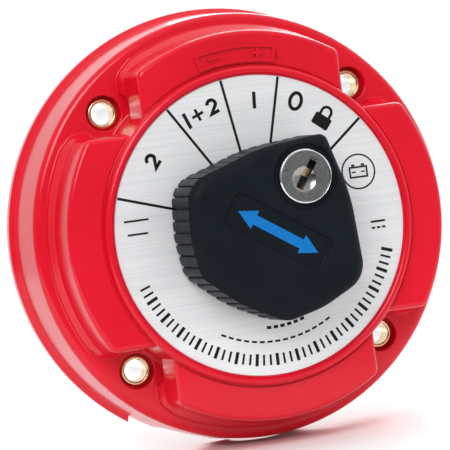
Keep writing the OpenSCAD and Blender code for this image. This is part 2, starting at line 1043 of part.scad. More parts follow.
module lock_barrel() {
    color([0.8, 0.81, 0.83])
        on_wall()
            at_lock()
                difference() {
                    union() {
                        disc(lock_face_radius, lock_face_bottom, lock_face_top);
                        disc(lock_body_radius, lock_body_bottom, lock_face_bottom + overlap);
                    }
                    disc(plug_head_radius + plug_clearance, lock_face_bottom + 0.2,
                        lock_face_top + overlap);
                    disc(plug_body_radius + plug_clearance, 0, lock_face_top);
                }
}

module lock_nut() {
    color([0.76, 0.77, 0.79])
        on_wall()
            at_lock()
                difference() {
                    ring(lock_nut_radius, lock_body_radius, knob_cavity_top,
                        knob_cavity_top + lock_nut_thickness);
                    for (turn = [0, 90])
                        rotate([0, 0, turn + 45])
                            translate([-10, -0.8, knob_cavity_top - overlap])
                                cube([20, 1.6, 0.7 + overlap]);
                }
}

module lock_plug() {
    head_bottom = lock_face_bottom + 0.3;
    face = lock_face_top - 0.3;
    color([0.7, 0.71, 0.72])
        on_wall()
            at_lock()
                difference() {
                    union() {
                        disc(plug_head_radius, head_bottom, face);
                        disc(plug_body_radius, lock_body_bottom, head_bottom + overlap);
                        translate([-plug_tail / 2, -plug_tail / 2, tongue_bottom])
                            cube([plug_tail, plug_tail, lock_body_bottom - tongue_bottom + 1]);
                    }
                    translate([-keyway_length / 2 + 0.9, -keyway_width / 2, face - 1])
                        cube([keyway_length, keyway_width, 2]);
                    translate([-keyway_inner_length / 2, -keyway_width / 2, face - keyway_depth])
                        cube([keyway_inner_length, keyway_width, keyway_depth + 1]);
                    translate([dish_offset, 0, 0])
                        disc(dish_radius, face - dish_depth, face + overlap);
                    disc(tongue_screw_radius, 0, tongue_bottom + tongue_screw_length + 1);
                }
}

// Bar on the back of the plug that swings in beside the strike's lug.
module lock_tongue() {
    color([0.68, 0.69, 0.71])
        on_wall()
            at_lock()
                rotate([0, 0, -90])
                    difference() {
                        union() {
                            disc(tongue_eye_radius, tongue_bottom, tongue_bottom + tongue_thickness);
                            translate([0, -tongue_half_width, tongue_bottom])
                                cube([tongue_reach, 2 * tongue_half_width, tongue_thickness]);
                        }
                        translate([-plug_tail / 2, -plug_tail / 2, tongue_bottom - overlap])
                            cube([plug_tail, plug_tail, tongue_thickness + 2 * overlap]);
                    }
}

module tongue_screw() {
    head_height = 0.9;
    color([0.78, 0.78, 0.8])
        on_wall()
            at_lock()
                difference() {
                    union() {
                        disc(tongue_screw_head_radius, tongue_bottom - head_height, tongue_bottom);
                        disc(tongue_screw_radius, tongue_bottom - head_height,
                            tongue_bottom + tongue_screw_length);
                    }
                    translate([0, 0, tongue_bottom - head_height])
                        screw_slot(tongue_screw_head_radius, 0.6, 0.4);
                }
}

// ------------------------------------------------------------ drawing

front_cover();
dial_plate();
mounting_bushings();
lock_strike();
strike_screws();
contact_base();
base_gasket();
base_screws();
common_contact();
battery_1_contact();
battery_2_contact();
terminal_studs();
terminal_washers();
terminal_nuts();
detent_spring();
knob();
drive_shaft();
shaft_pin();
shaft_seal();
rotor();
rotor_clip();
moving_contact();
contact_springs();
lock_barrel();
lock_nut();
lock_plug();
lock_tongue();
tongue_screw();
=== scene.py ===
"""Looks of a surface-mounted battery selector switch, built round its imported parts.

Shapes are worked out in millimetres with the switch lying on its back: x to the
right, y up the face, and the height above the mounting wall third. new_piece()
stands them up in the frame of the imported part, in metres.
"""

from math import asin, atan2, ceil, cos, degrees, hypot, pi, radians, sin, sqrt, tan

import bmesh
import bpy
from mathutils import Matrix, Vector


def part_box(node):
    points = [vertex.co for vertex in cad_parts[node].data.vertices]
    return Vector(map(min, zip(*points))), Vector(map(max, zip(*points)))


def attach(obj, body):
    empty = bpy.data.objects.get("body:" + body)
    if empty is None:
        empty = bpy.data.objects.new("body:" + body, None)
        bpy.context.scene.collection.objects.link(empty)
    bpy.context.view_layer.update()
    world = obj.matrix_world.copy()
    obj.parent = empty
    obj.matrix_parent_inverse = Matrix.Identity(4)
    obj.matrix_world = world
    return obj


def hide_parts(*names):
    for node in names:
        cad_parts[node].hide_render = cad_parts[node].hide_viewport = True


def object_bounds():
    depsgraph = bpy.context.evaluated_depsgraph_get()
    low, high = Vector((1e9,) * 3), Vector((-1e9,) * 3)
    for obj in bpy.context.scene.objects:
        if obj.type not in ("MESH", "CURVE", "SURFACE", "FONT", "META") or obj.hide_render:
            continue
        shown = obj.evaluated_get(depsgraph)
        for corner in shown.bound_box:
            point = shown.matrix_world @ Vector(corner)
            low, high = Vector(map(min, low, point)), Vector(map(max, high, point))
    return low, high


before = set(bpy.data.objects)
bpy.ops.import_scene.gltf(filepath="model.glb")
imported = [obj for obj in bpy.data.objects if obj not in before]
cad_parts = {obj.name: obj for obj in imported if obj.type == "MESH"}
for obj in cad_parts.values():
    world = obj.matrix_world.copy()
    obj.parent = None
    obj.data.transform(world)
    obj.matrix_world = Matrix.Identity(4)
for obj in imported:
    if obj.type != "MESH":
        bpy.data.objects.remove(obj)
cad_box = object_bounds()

MM = 0.001
QUARTER = 90
HALF_TURN = 180
FULL_TURN = 360


# ------------------------------------------------------------ sizes, in mm

# How far a cutter or a hidden foot reaches past the face that it meets, and how far
# thin or flush shapes sink into what they lie on.
beyond = 1
sunk = 0.02


def heights(node):
    """Lowest and highest height of a CAD node above the mounting wall."""
    low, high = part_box(node)
    return -high.y / MM, -low.y / MM


def half_width(node):
    """Half the width of a CAD node that is centred on the switch's axis."""
    low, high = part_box(node)
    return (high.x - low.x) / 2 / MM


case_radius = half_width("front_cover")
bezel_crest = heights("front_cover")[1]
dial_radius = half_width("dial_plate")
dial_bottom, dial_top = heights("dial_plate")
knob_bottom, knob_top = heights("knob")
base_radius = half_width("contact_base")
collar_bottom, base_top = heights("contact_base")
base_bottom = collar_bottom + 1.5
gasket_top = heights("base_gasket")[1]
flange_radius = 4.5
flange_top = heights("mounting_bushings")[1]
boss_offset = half_width("mounting_bushings") - flange_radius
nut_bottom, nut_top = heights("terminal_nuts")
stud_end = heights("terminal_studs")[0]
lock_back, lock_face_top = heights("lock_barrel")

shelf_height = 25.5
rim_height = 3.6
rim_inner_radius = case_radius - 4.8
lobe_height = dial_bottom - 0.5
lobe_radius = case_radius - 10.2
lobe_half_width = 30.2
lobe_corner = 2.5
lobe_flare = 2.4
lobe_wall = 2.8
plinth_edge = shelf_height + 1.7
plinth_top = shelf_height + 4.1
bezel_radius = 46
bezel_foot_radius = 47.3
boss_radius = 7.6
bushing_radius = 4
bushing_bore = 3.3
bushing_seat = shelf_height - 3.2
pocket_radius = 5.15
bite_radius = 7.4
chamber_radius = 37.9
chamber_ceiling = 38
screw_bore = 1.75
screw_bore_end = 34
shaft_bore = 5.05
notch_half_width = 37.7
notch_height = 5.3
slot_width = 16
slot_height = 15
slot_spacing = 22
stud_radius = 30.5
stud_angles = (270, 0, 180)
stud_shank = 4.76
base_screw_circle = 42.5


# ------------------------------------------------------------ outlines

def on_circle(radius, angle, centre=(0, 0)):
    """Point at an angle, in degrees, on a circle."""
    return (centre[0] + radius * cos(radians(angle)), centre[1] + radius * sin(radians(angle)))


def arc(radius, start, end, steps, centre=(0, 0)):
    """Points along an arc, both ends included."""
    return [on_circle(radius, start + (end - start) * k / steps, centre) for k in range(steps + 1)]


def rounded(corners, closed=False, steps=5):
    """Polyline through corners (x, y, radius), each of them rounded by an arc."""
    points = []
    last = len(corners) - 1
    for i, (x, y, radius) in enumerate(corners):
        if radius == 0 or (not closed and i in (0, last)):
            points.append((x, y))
            continue
        here = Vector((x, y))
        back = (Vector(corners[i - 1][:2]) - here).normalized()
        ahead = (Vector(corners[(i + 1) % len(corners)][:2]) - here).normalized()
        half = back.angle(ahead) / 2
        centre = here + (back + ahead).normalized() * radius / sin(half)
        start = here + back * radius / tan(half) - centre
        left_turn = back.x * ahead.y - back.y * ahead.x < 0
        sweep = degrees(pi - 2 * half) * (1 if left_turn else -1)
        first = degrees(atan2(start.y, start.x))
        points += arc(radius, first, first + sweep, steps, centre)
    return points


def oval(half_wide, half_tall, steps):
    """Closed line round an ellipse."""
    turns = [2 * pi * k / steps for k in range(steps)]
    return [(half_wide * cos(turn), half_tall * sin(turn)) for turn in turns]


def rectangle(width, length, corner=0.0, centre=(0, 0)):
    """Outline of a rectangle with rounded corners."""
    x, y = width / 2, length / 2
    corners = [(-x, -y), (x, -y), (x, y), (-x, y)]
    return rounded([(centre[0] + a, centre[1] + b, corner) for a, b in corners], closed=True)


# ------------------------------------------------------------ solids

def loft(rings, wrap=False):
    """Faces through rings of equally many points, capped unless they wrap round."""
    count = len(rings[0])
    points = [point for ring in rings for point in ring]
    faces = []
    for r in range(len(rings) if wrap else len(rings) - 1):
        here, there = r * count, (r + 1) % len(rings) * count
        for i in range(count):
            j = (i + 1) % count
            faces.append((here + i, here + j, there + j, there + i))
    if not wrap:
        faces.append(tuple(reversed(range(count))))
        faces.append(tuple(range((len(rings) - 1) * count, len(rings) * count)))
    return points, faces


def lathe(profile, steps=160, centre=(0, 0), wrap=False):
    """Turned solid from a profile of (radius, height) points. A ring wraps round."""
    rings = []
    for radius, height in profile:
        rings.append([
            (*on_circle(radius, FULL_TURN * k / steps, centre), height) for k in range(steps)
        ])
    return loft(rings, wrap)


def cylinder(radius, bottom, top, centre=(0, 0), steps=48):
    return lathe([(radius, bottom), (radius, top)], steps, centre)


def prism(outline, bottom, top):
    """Straight solid on an outline."""
    return loft([[(x, y, height) for x, y in outline] for height in (bottom, top)])


def strip(line, width, bottom, top, closed=False):
    """Solid of even width along a line, with mitred corners."""
    count = len(line)
    rings = []
    for i, (x, y) in enumerate(line):
        here = Vector((x, y))
        back = here - Vector(line[i - 1]) if closed or i > 0 else None
        ahead = Vector(line[(i + 1) % count]) - here if closed or i < count - 1 else None
        back = (back or ahead).normalized()
        ahead = (ahead or back).normalized()
        along = (back + ahead).normalized()
        side = Vector((-along.y, along.x)) * width / 2 / max(0.4, along.dot(ahead))
        a, b = here + side, here - side
        rings.append([(*a, bottom), (*b, bottom), (*b, top), (*a, top)])
    return loft(rings, wrap=closed)


def turned(solid, angle):
    """The same solid turned round the switch's axis."""
    points, faces = solid
    c, s = cos(radians(angle)), sin(radians(angle))
    return [(c * x - s * y, s * x + c * y, h) for x, y, h in points], faces


def moved(solid, x, y):
    points, faces = solid
    return [(a + x, b + y, h) for a, b, h in points], faces


def around_bushings(solid):
    """A solid drawn on the axis, repeated at the four mounting holes."""
    signs = (-1, 1)
    return [moved(solid, a * boss_offset, b * boss_offset) for a in signs for b in signs]


def around_studs(solid):
    return [turned(moved(solid, stud_radius, 0), angle) for angle in stud_angles]


def around_base_screws(solid):
    return [turned(moved(solid, base_screw_circle, 0), 45 + QUARTER * k) for k in range(4)]


def new_piece(name, solids):
    """One object from one or several closed solids, stood up against the wall."""
    points = []
    faces = []
    for solid_points, solid_faces in solids:
        start = len(points)
        points += [(x * MM, -h * MM, y * MM) for x, y, h in solid_points]
        faces += [tuple(start + i for i in face) for face in solid_faces]
    mesh = bpy.data.meshes.new(name)
    mesh.from_pydata(points, [], faces)
    piece = bpy.data.objects.new(name, mesh)
    bpy.context.scene.collection.objects.link(piece)
    work = bmesh.new()
    work.from_mesh(mesh)
    bmesh.ops.recalc_face_normals(work, faces=work.faces)
    work.to_mesh(mesh)
    work.free()
    return piece


def combine(piece, operation, *groups):
    """Joins, cuts or intersects a piece with one group of solids after another."""
    for solids in groups:
        tool = new_piece("tool", solids)
        modifier = piece.modifiers.new(operation, "BOOLEAN")
        modifier.operation = operation
        modifier.solver = "MANIFOLD"
        modifier.object = tool
        depsgraph = bpy.context.evaluated_depsgraph_get()
        result = bpy.data.meshes.new_from_object(piece.evaluated_get(depsgraph))
        piece.modifiers.clear()
        piece.data = result
        bpy.data.objects.remove(tool)
    return piece


def finish(piece, body, slot, material, *nodes, sharp=32):
    """Smooths a piece, keeps its real edges crisp, and ties it to its body."""
    mesh = piece.data
    mesh.name = piece.name
    work = bmesh.new()
    work.from_mesh(mesh)
    bmesh.ops.remove_doubles(work, verts=work.verts, dist=2e-6)
    bmesh.ops.dissolve_degenerate(work, edges=work.edges, dist=1e-6)
    for face in work.faces:
        face.smooth = True
    for edge in work.edges:
        edge.smooth = len(edge.link_faces) == 2 and edge.calc_face_angle() < radians(sharp)
    work.to_mesh(mesh)
    work.free()
    piece.modifiers.new("even shading", "WEIGHTED_NORMAL").keep_sharp = True
    if not any(mesh.materials):
        mesh.materials.clear()
        mesh.materials.append(material)
    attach(piece, body)
    if nodes:
        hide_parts(*nodes)
    return piece


# ------------------------------------------------------------ materials

class Finish:
    """A procedural material round one Principled shader, in object coordinates."""

    def __init__(self, name, **sockets):
        self.material = bpy.data.materials.new(name)
        self.material.use_nodes = True
        self.tree = self.material.node_tree
        self.shader = self.tree.nodes["Principled BSDF"]
        for socket, value in sockets.items():
            self.shader.inputs[socket.replace("_", " ")].default_value = value
        self.place = self.tree.nodes.new("ShaderNodeTexCoord").outputs["Object"]
        self.normal = None

    def link(self, source, target):
        self.tree.links.new(source, target)

    def noise(self, size, detail=3, stretch=(1, 1, 1), roughness=0.5):
        """Noise whose features are about size mm, drawn out by stretch along x, y, z."""
        mapping = self.tree.nodes.new("ShaderNodeMapping")
        mapping.inputs["Scale"].default_value = [1 / (size * MM * s) for s in stretch]
        self.link(self.place, mapping.inputs["Vector"])
        texture = self.tree.nodes.new("ShaderNodeTexNoise")
        texture.inputs["Scale"].default_value = 1
        texture.inputs["Detail"].default_value = detail
        texture.inputs["Roughness"].default_value = roughness
        self.link(mapping.outputs["Vector"], texture.inputs["Vector"])
        return texture.outputs["Fac"]

    def spread(self, source, low, high, start=0.3, end=0.7):
        """Maps a texture onto a range of values."""
        node = self.tree.nodes.new("ShaderNodeMapRange")
        limits = {"From Min": start, "From Max": end, "To Min": low, "To Max": high}
        for socket, value in limits.items():
            node.inputs[socket].default_value = value
        self.link(source, node.inputs["Value"])
        return node.outputs["Result"]

    def colours(self, source, first, second, start=0.3, end=0.7):
        """Base colour that runs between two colours with a texture."""
        ramp = self.tree.nodes.new("ShaderNodeValToRGB")
        for element, place, colour in zip(ramp.color_ramp.elements, (start, end), (first, second)):
            element.position = place
            element.color = (*colour, 1)
        self.link(source, ramp.inputs["Fac"])
        self.link(ramp.outputs["Color"], self.shader.inputs["Base Color"])
        return ramp.outputs["Color"]

    def specks(self, colour, under, size, rarity):
        """Lays small light specks over a base colour."""
        grains = self.spread(self.noise(size, detail=1), 0, 1, rarity, rarity + 0.03)
        mix = self.tree.nodes.new("ShaderNodeMix")
        mix.data_type = "RGBA"
        # The names of this node's sockets repeat, so its colour sockets go by number.
        factor, first, second, result = mix.inputs[0], mix.inputs[6], mix.inputs[7], mix.outputs[2]
        second.default_value = (*colour, 1)
        self.link(grains, factor)
        self.link(under, first)
        self.link(result, self.shader.inputs["Base Color"])

    def rough(self, source, low, high):
        self.link(self.spread(source, low, high), self.shader.inputs["Roughness"])

    def bump(self, source, depth, strength=1.0):
        """Surface relief of a depth in mm, on top of any relief before it."""
        node = self.tree.nodes.new("ShaderNodeBump")
        node.inputs["Distance"].default_value = depth * MM
        node.inputs["Strength"].default_value = strength
        self.link(source, node.inputs["Height"])
        if self.normal:
            self.link(self.normal, node.inputs["Normal"])
        self.normal = node.outputs["Normal"]
        self.link(self.normal, self.shader.inputs["Normal"])


def red_plastic():
    f = Finish("red_plastic", IOR=1.4)
    f.colours(f.noise(22), (0.63, 0.0035, 0.017), (0.71, 0.0050, 0.023))
    f.rough(f.noise(7), 0.13, 0.2)
    f.bump(f.noise(2.2, detail=2), 0.012)
    f.bump(f.noise(0.35, detail=2), 0.0015)
    return f.material


def brushed_dial():
    """Aluminium brushed from side to side; the texture coordinate map runs with it."""
    f = Finish("brushed_dial", Metallic=0.35, Anisotropic=0.7)
    lines = f.noise(1, detail=4, stretch=(40, 1, 0.28), roughness=0.6)
    bands = f.noise(1, detail=2, stretch=(70, 1, 2.4))
    f.colours(lines, (0.79, 0.81, 0.83), (0.96, 0.97, 0.98), 0.25, 0.75)
    f.rough(bands, 0.3, 0.42)
    f.bump(lines, 0.004)
    tangent = f.tree.nodes.new("ShaderNodeTangent")
    tangent.direction_type = "UV_MAP"
    tangent.uv_map = "brushing"
    f.link(tangent.outputs["Tangent"], f.shader.inputs["Tangent"])
    return f.material


def black_moulding():
    f = Finish("black_moulding", IOR=1.13)
    tone = f.colours(f.noise(14), (0.0070, 0.0098, 0.0130), (0.0096, 0.0132, 0.0172))
    f.specks((0.1, 0.11, 0.12), tone, 0.42, 0.81)
    f.rough(f.noise(3), 0.38, 0.48)
    f.bump(f.noise(0.3, detail=2), 0.012)
    f.bump(f.noise(1.3, detail=2), 0.012)
    return f.material


def metal(name, dark, light, rough, grain=(1, 1, 1), grain_size=0.5, relief=0.002):
    """Plated or bare metal with a fine grain and slightly uneven lustre."""
    f = Finish(name, Metallic=1)
    fine = f.noise(grain_size, detail=3, stretch=grain)
    f.colours(fine, dark, light)
    f.rough(f.noise(2.5), *rough)
    f.bump(fine, relief)
    return f.material


def moulded(name, dark, light, rough, size=6, relief=0.01):
    """Matt moulded material with soft mottling and a fine surface."""
    f = Finish(name, IOR=1.5)
    f.colours(f.noise(size, detail=4), dark, light)
    f.rough(f.noise(size / 2), *rough)
    f.bump(f.noise(0.4, detail=3), relief)
    return f.material


def ink(name, colour):
    """Printed ink, a little uneven in its cover."""
    f = Finish(name, IOR=1.3)
    f.colours(f.noise(0.6), [0.85 * c for c in colour], colour)
    f.rough(f.noise(1.1), 0.38, 0.5)
    f.bump(f.noise(0.25), 0.003)
    return f.material


red = red_plastic()
dial_metal = brushed_dial()
black = black_moulding()
brass = metal("brass", (0.78, 0.56, 0.29), (0.93, 0.71, 0.42), (0.16, 0.28))
copper = metal("copper", (0.62, 0.30, 0.17), (0.80, 0.42, 0.27), (0.25, 0.4), (6, 1, 1))
tin = metal("tinned_brass", (0.58, 0.56, 0.50), (0.74, 0.72, 0.66), (0.25, 0.4))
steel = metal("stainless_steel", (0.50, 0.51, 0.53), (0.68, 0.69, 0.71), (0.24, 0.36), (5, 1, 1))
chrome = metal(
    "lock_rim_chrome", (0.70, 0.71, 0.72), (0.84, 0.85, 0.86), (0.08, 0.16),
    relief=0.001
)
nickel = metal(
    "lock_face_nickel", (0.25, 0.26, 0.27), (0.38, 0.375, 0.365), (0.16, 0.28),
    grain_size=0.9, relief=0.006
)
bright = metal(
    "bushing_bore", (0.82, 0.82, 0.83), (0.93, 0.93, 0.94), (0.06, 0.12),
    relief=0.001
)
phenolic = moulded("phenolic", (0.018, 0.014, 0.012), (0.034, 0.027, 0.022), (0.38, 0.52))
nylon = moulded("nylon", (0.74, 0.71, 0.62), (0.82, 0.79, 0.71), (0.4, 0.55))
rubber = moulded("rubber", (0.008, 0.008, 0.008), (0.02, 0.02, 0.02), (0.65, 0.8), size=2)
black_ink = ink("black_ink", (0.006, 0.006, 0.007))
blue_ink = ink("blue_ink", (0.001, 0.17, 0.52))


# ------------------------------------------------------------ front cover

def lobe():
    """One raised lobe, pointing along x, from its foot on the shelf to its top."""
    reach = lobe_radius - lobe_corner
    corner_y = lobe_half_width - lobe_corner
    corner_x = sqrt(reach ** 2 - corner_y ** 2)
    turn = degrees(atan2(corner_y, corner_x))
    # The sides end inside the bezel, and the curved outer wall slopes more than they do.
    inner_x = 30
    outer_flare = 1.25
    # Each point of the outline: place, outward direction and how much it flares.
    line = [(inner_x, -lobe_half_width, -QUARTER, 1)]
    for angle in [-QUARTER + (QUARTER - turn) * k / 8 for k in range(9)]:
        line.append((*on_circle(lobe_corner, angle, (corner_x, -corner_y)), angle, 1))
    for angle in [turn * (k / 20 - 1) for k in range(1, 40)]:
        line.append((*on_circle(lobe_radius, angle), angle, outer_flare))
    for angle in [turn + (QUARTER - turn) * k / 8 for k in range(9)]:
        line.append((*on_circle(lobe_corner, angle, (corner_x, corner_y)), angle, 1))
    line.append((inner_x, lobe_half_width, QUARTER, 1))
    section = rounded([
        (lobe_flare + 1, shelf_height - beyond, 0),
        (lobe_flare + 1, shelf_height - sunk, 0),
        (lobe_flare, shelf_height - sunk, 0.6),
        (lobe_flare, plinth_edge, 0.8),
        (lobe_flare / 2, plinth_top, 1.4),
        (0, lobe_height, 1.5),
        (-1.6, lobe_height, 0)
    ])[:-1]
    rings = []
    for offset, height in section:
        ring = []
        for x, y, angle, flare in line:
            distance = offset * flare if offset > 0 else offset
            ring.append((*on_circle(distance, angle, (x, y)), height))
        rings.append(ring)
    return loft(rings)


def skirt():
    """Rear rim, tapered outer wall and the shelf that everything else stands on."""
    return lathe(rounded([
        (case_radius - 4, 0, 0),
        (case_radius, 0, 0.35),
        (case_radius, rim_height, 0.45),
        (case_radius - 1.7, notch_height, 0.6),
        (case_radius - 3.6, shelf_height, 2.2),
        (case_radius - 8, shelf_height, 0)
    ]), steps=256)


def bezel():
    """Round wall and rolled lip round the dial's seat."""
    lip = (bezel_radius - dial_radius) / 2
    lip_centre = (bezel_radius - lip, bezel_crest - lip)
    wall = rounded([
        (bezel_foot_radius + 1.2, shelf_height - beyond, 0),
        (bezel_foot_radius + 1.2, shelf_height - sunk, 0),
        (bezel_foot_radius, shelf_height - sunk, 0.8),
        (bezel_radius, lobe_height, 0)
    ])
    crest = arc(lip, 0, HALF_TURN, 12, lip_centre)
    return lathe(wall + crest + [(dial_radius, dial_bottom)], steps=256)


def flared_cutter(radius, bottom, top, flare):
    """Round cutter that leaves a rounded edge where its hole meets the face at top."""
    edge = arc(flare, HALF_TURN, QUARTER, 5, (radius + flare, top - flare))
    mouth = [(radius + flare + sunk, top + 0.5)]
    return lathe([(radius, bottom)] + edge + mouth, steps=64)


def wiring_chamber():
    """Space behind the shelf, without the four screw bosses that stand in it."""
    space = new_piece("tool", [lathe([
        (rim_inner_radius, -beyond),
        (rim_inner_radius, rim_height),
        (rim_inner_radius - 2, gasket_top)
    ], steps=256)])
    bosses = rounded([
        (boss_radius, -2 * beyond, 0),
        (boss_radius, gasket_top, 1),
        (boss_radius + 2, gasket_top, 0)
    ]) + [(boss_radius + 2, gasket_top + beyond)]
    return combine(space, "DIFFERENCE", *[[boss] for boss in around_bushings(lathe(bosses, 64))])


def as_solid(piece):
    """Takes a piece back apart into points and faces, and removes it."""
    points = [(v.co.x / MM, v.co.z / MM, -v.co.y / MM) for v in piece.data.vertices]
    faces = [tuple(polygon.vertices) for polygon in piece.data.polygons]
    bpy.data.objects.remove(piece)
    return points, faces


def lobe_hollows():
    """Hollow undersides of the lobes, outside the ring that the base screws to."""
    bottom = gasket_top - beyond
    ceiling = lobe_height - lobe_wall
    outer = case_radius - 12
    ring = new_piece("tool", [lathe(rounded([
        (base_radius, bottom, 0),
        (outer, bottom, 0),
        (outer, plinth_edge - lobe_wall, 0.5),
        (lobe_radius - 3.2, ceiling, 1.5),
        (base_radius, ceiling, 1)
    ], closed=True), wrap=True)])
    width, length = 2 * (lobe_half_width - 3.3), 130
    bars = [prism(rectangle(*size), 0, lobe_height) for size in ((width, length), (length, width))]
    cross = new_piece("tool", [bars[0]])
    combine(cross, "UNION", [bars[1]])
    return combine(ring, "INTERSECT", [as_solid(cross)])


def cable_entry():
    """Cut-out in the rear rim, and the slots that the cables leave by."""
    edge = case_radius + 2
    notch_end = 48
    notch = prism([
        (-notch_half_width, -edge),
        (notch_half_width, -edge),
        (notch_half_width, -notch_end),
        (-notch_half_width, -notch_end)
    ], -beyond, notch_height)
    solids = [[notch]]
    half = slot_width / 2
    for middle in (-slot_spacing, 0, slot_spacing):
        section = arc(half, HALF_TURN, 0, 24, (middle, slot_height - half))
        section += [(middle + half, -beyond), (middle - half, -beyond)]
        solids.append([loft([[(x, y, h) for x, h in section] for y in (-edge, -notch_end - 0.5)])])
    return solids


def polar_line(radius, start, end, steps=24):
    """Arc on the face between two angles clockwise from the top."""
    return arc(radius, QUARTER - start, QUARTER - end, steps)


def battery_mark():
    """Raised outline of a battery with its two signs, curved along the top lobe."""
    foot, top = lobe_height - 0.2, lobe_height + 0.7
    # Two radii in mm and two angles clockwise from the top.
    low, high, left, right = 47.6, 51.8, -14.5, 12
    middle = (low + high) / 2
    minus, plus = left + 5.5, right - 5.5
    wide = 0.9
    outline = polar_line(high, left, right) + polar_line(low, right, left)
    terminal = polar_line(middle, right + 1.2, right + 2.1, 2)
    solids = [strip(outline, wide, foot, top, closed=True), strip(terminal, 2.2, foot, top)]
    for sign in (minus, plus):
        solids.append(strip(polar_line(middle, sign - 2, sign + 2, 4), wide, foot, top))
    for start, end in ((0.4, 1.5), (-1.5, -0.4)):
        ends = [on_circle(middle + reach, QUARTER - plus) for reach in (start, end)]
        solids.append(strip(ends, wide, foot, top))
    return solids


def front_cover():
    """The red moulding: solids joined, then hollowed and bored, then marked."""
    cover = new_piece("cover_moulding", [skirt()])
    bite = lathe(rounded([
        (bite_radius, shelf_height - 3, 0),
        (bite_radius, plinth_top + 1.5, 1.2),
        (bite_radius - 2, plinth_top + 1.5, 0)
    ]), 96)
    for turn in range(4):
        raised = new_piece("tool", [turned(lobe(), turn * QUARTER)])
        combine(raised, "DIFFERENCE", *[[cut] for cut in around_bushings(bite)])
        combine(cover, "UNION", [as_solid(raised)])
    combine(cover, "UNION", [bezel()])
    # Fine line between the bezel and the tops of the lobes.
    groove = rounded([
        (bezel_radius + 0.05, lobe_height + 0.4, 0),
        (bezel_radius + 0.05, lobe_height - 0.5, 0.2),
        (bezel_radius + 0.65, lobe_height - 0.5, 0.2),
        (bezel_radius + 0.75, lobe_height + 0.4, 0)
    ], closed=True)
    combine(
        cover, "DIFFERENCE",
        [lathe(groove, 256, wrap=True)],
        [as_solid(wiring_chamber())],
        [as_solid(lobe_hollows())],
        *cable_entry(),
        [cylinder(chamber_radius, gasket_top - beyond, chamber_ceiling, steps=128)],
        [cylinder(shaft_bore, chamber_ceiling - beyond, dial_top)],
        around_bushings(flared_cutter(pocket_radius, bushing_seat, shelf_height, 0.4)),
        around_bushings(cylinder(bushing_radius, -beyond, bushing_seat + beyond)),
        around_base_screws(cylinder(screw_bore, gasket_top - beyond, screw_bore_end, steps=24))
    )
    combine(cover, "UNION", *[[mark] for mark in battery_mark()])
    return finish(cover, "case", "red_plastic", red, "front_cover", sharp=30)


front_cover()


# ------------------------------------------------------------ dial and its print

def dial():
    """Disc with bevelled edges, and a texture coordinate map for its brushed lines."""
    bevel = 0.12
    hole = 12.5
    ring = lathe([
        (hole, dial_bottom),
        (dial_radius, dial_bottom),
        (dial_radius, dial_top - bevel),
        (dial_radius - bevel, dial_top),
        (hole + bevel, dial_top),
        (hole, dial_top - bevel)
    ], steps=256, wrap=True)
    plate = new_piece("dial_brushed", [ring])
    brushing = plate.data.uv_layers.new(name="brushing")
    for loop in plate.data.loops:
        place = plate.data.vertices[loop.vertex_index].co
        brushing.data[loop.index].uv = (place.x / (100 * MM), place.z / (100 * MM))
    return finish(plate, "case", "dial_aluminium", dial_metal, "dial_plate")


print_bottom = dial_top - sunk
print_top = dial_top + 0.05


def on_dial(line, clockwise, radius):
    """Moves a line drawn upright at the origin to its place on the dial, top outwards."""
    turn = radians(clockwise)
    return [
        (sin(turn) * (radius + v) + cos(turn) * u, cos(turn) * (radius + v) - sin(turn) * u)
        for u, v in line
    ]


def upright_on(line, clockwise, radius):
    """Moves a line to a place on the dial without turning it."""
    x, y = on_circle(radius, QUARTER - clockwise)
    return [(x + u, y + v) for u, v in line]


def printed(line, width, closed=False):
    """Printed stroke along a line on the dial."""
    return strip(line, width, print_bottom, print_top, closed)


def digit_two(height, width):
    """Centre line of a 2: an arc, a slanting stem and a straight foot."""
    half = width / 2
    top = arc(half, 165, -25, 14, (0, height / 2 - half))
    return top + [(-half, -height / 2), (half, -height / 2)]


def sector_lines():
    """Black lines that part the dial's positions, from under the knob to the edge."""
    start = 16
    end = dial_radius - 0.2
    for clockwise in (-72.5, -33, -9, 14, 51):
        yield printed(on_dial([(0, 0), (0, end - start)], clockwise, start), 0.75)


def position_marks():
    """Generic marks of the four positions: 2, 1+2, 1, and 0 with a padlock."""
    bold, medium = 1, 0.8
    half_tall = 2.4
    two = digit_two(3.8, 2.5)
    yield printed(on_dial(two, -53, 37), bold)
    yield printed(on_dial([(0, -half_tall), (0, half_tall)], 4, 36), bold)
    both = (-22.5, 36.7)
    aside = 4.3
    yield printed(on_dial([(-aside, -half_tall), (-aside, half_tall)], *both), bold)
    yield printed(on_dial([(-2.5, 0), (1.1, 0)], *both), medium)
    for end in (-1, 1):
        yield printed(on_dial([(-0.7, 0.4 * end), (-0.7, 1.8 * end)], *both), medium)
    yield printed(on_dial([(u + aside, v) for u, v in two], *both), bold)
    yield printed(on_dial(oval(1.7, half_tall, 28), 23.5, 37.3), bold, closed=True)
    padlock = (38.5, 37)
    bow = 1.5
    shackle = [(-bow, 0)] + arc(bow, HALF_TURN, 0, 12, (0, 1.2)) + [(bow, 0)]
    yield printed(on_dial(shackle, *padlock), medium)
    yield prism(on_dial(rectangle(5.4, 3.6, 0.5, (0, -1.8)), *padlock), print_bottom, print_top)


def graduation():
    """Plain strokes along the lower edge, every third one longer and bolder."""
    first, last, count, radius = 108, 250, 48, 38.8
    for k in range(count):
        clockwise = first + (last - first) * k / (count - 1)
        reach, weight = (1.55, 0.62) if k % 3 else (1.75, 0.95)
        yield printed(on_dial([(0, -reach), (0, reach)], clockwise, radius), weight)


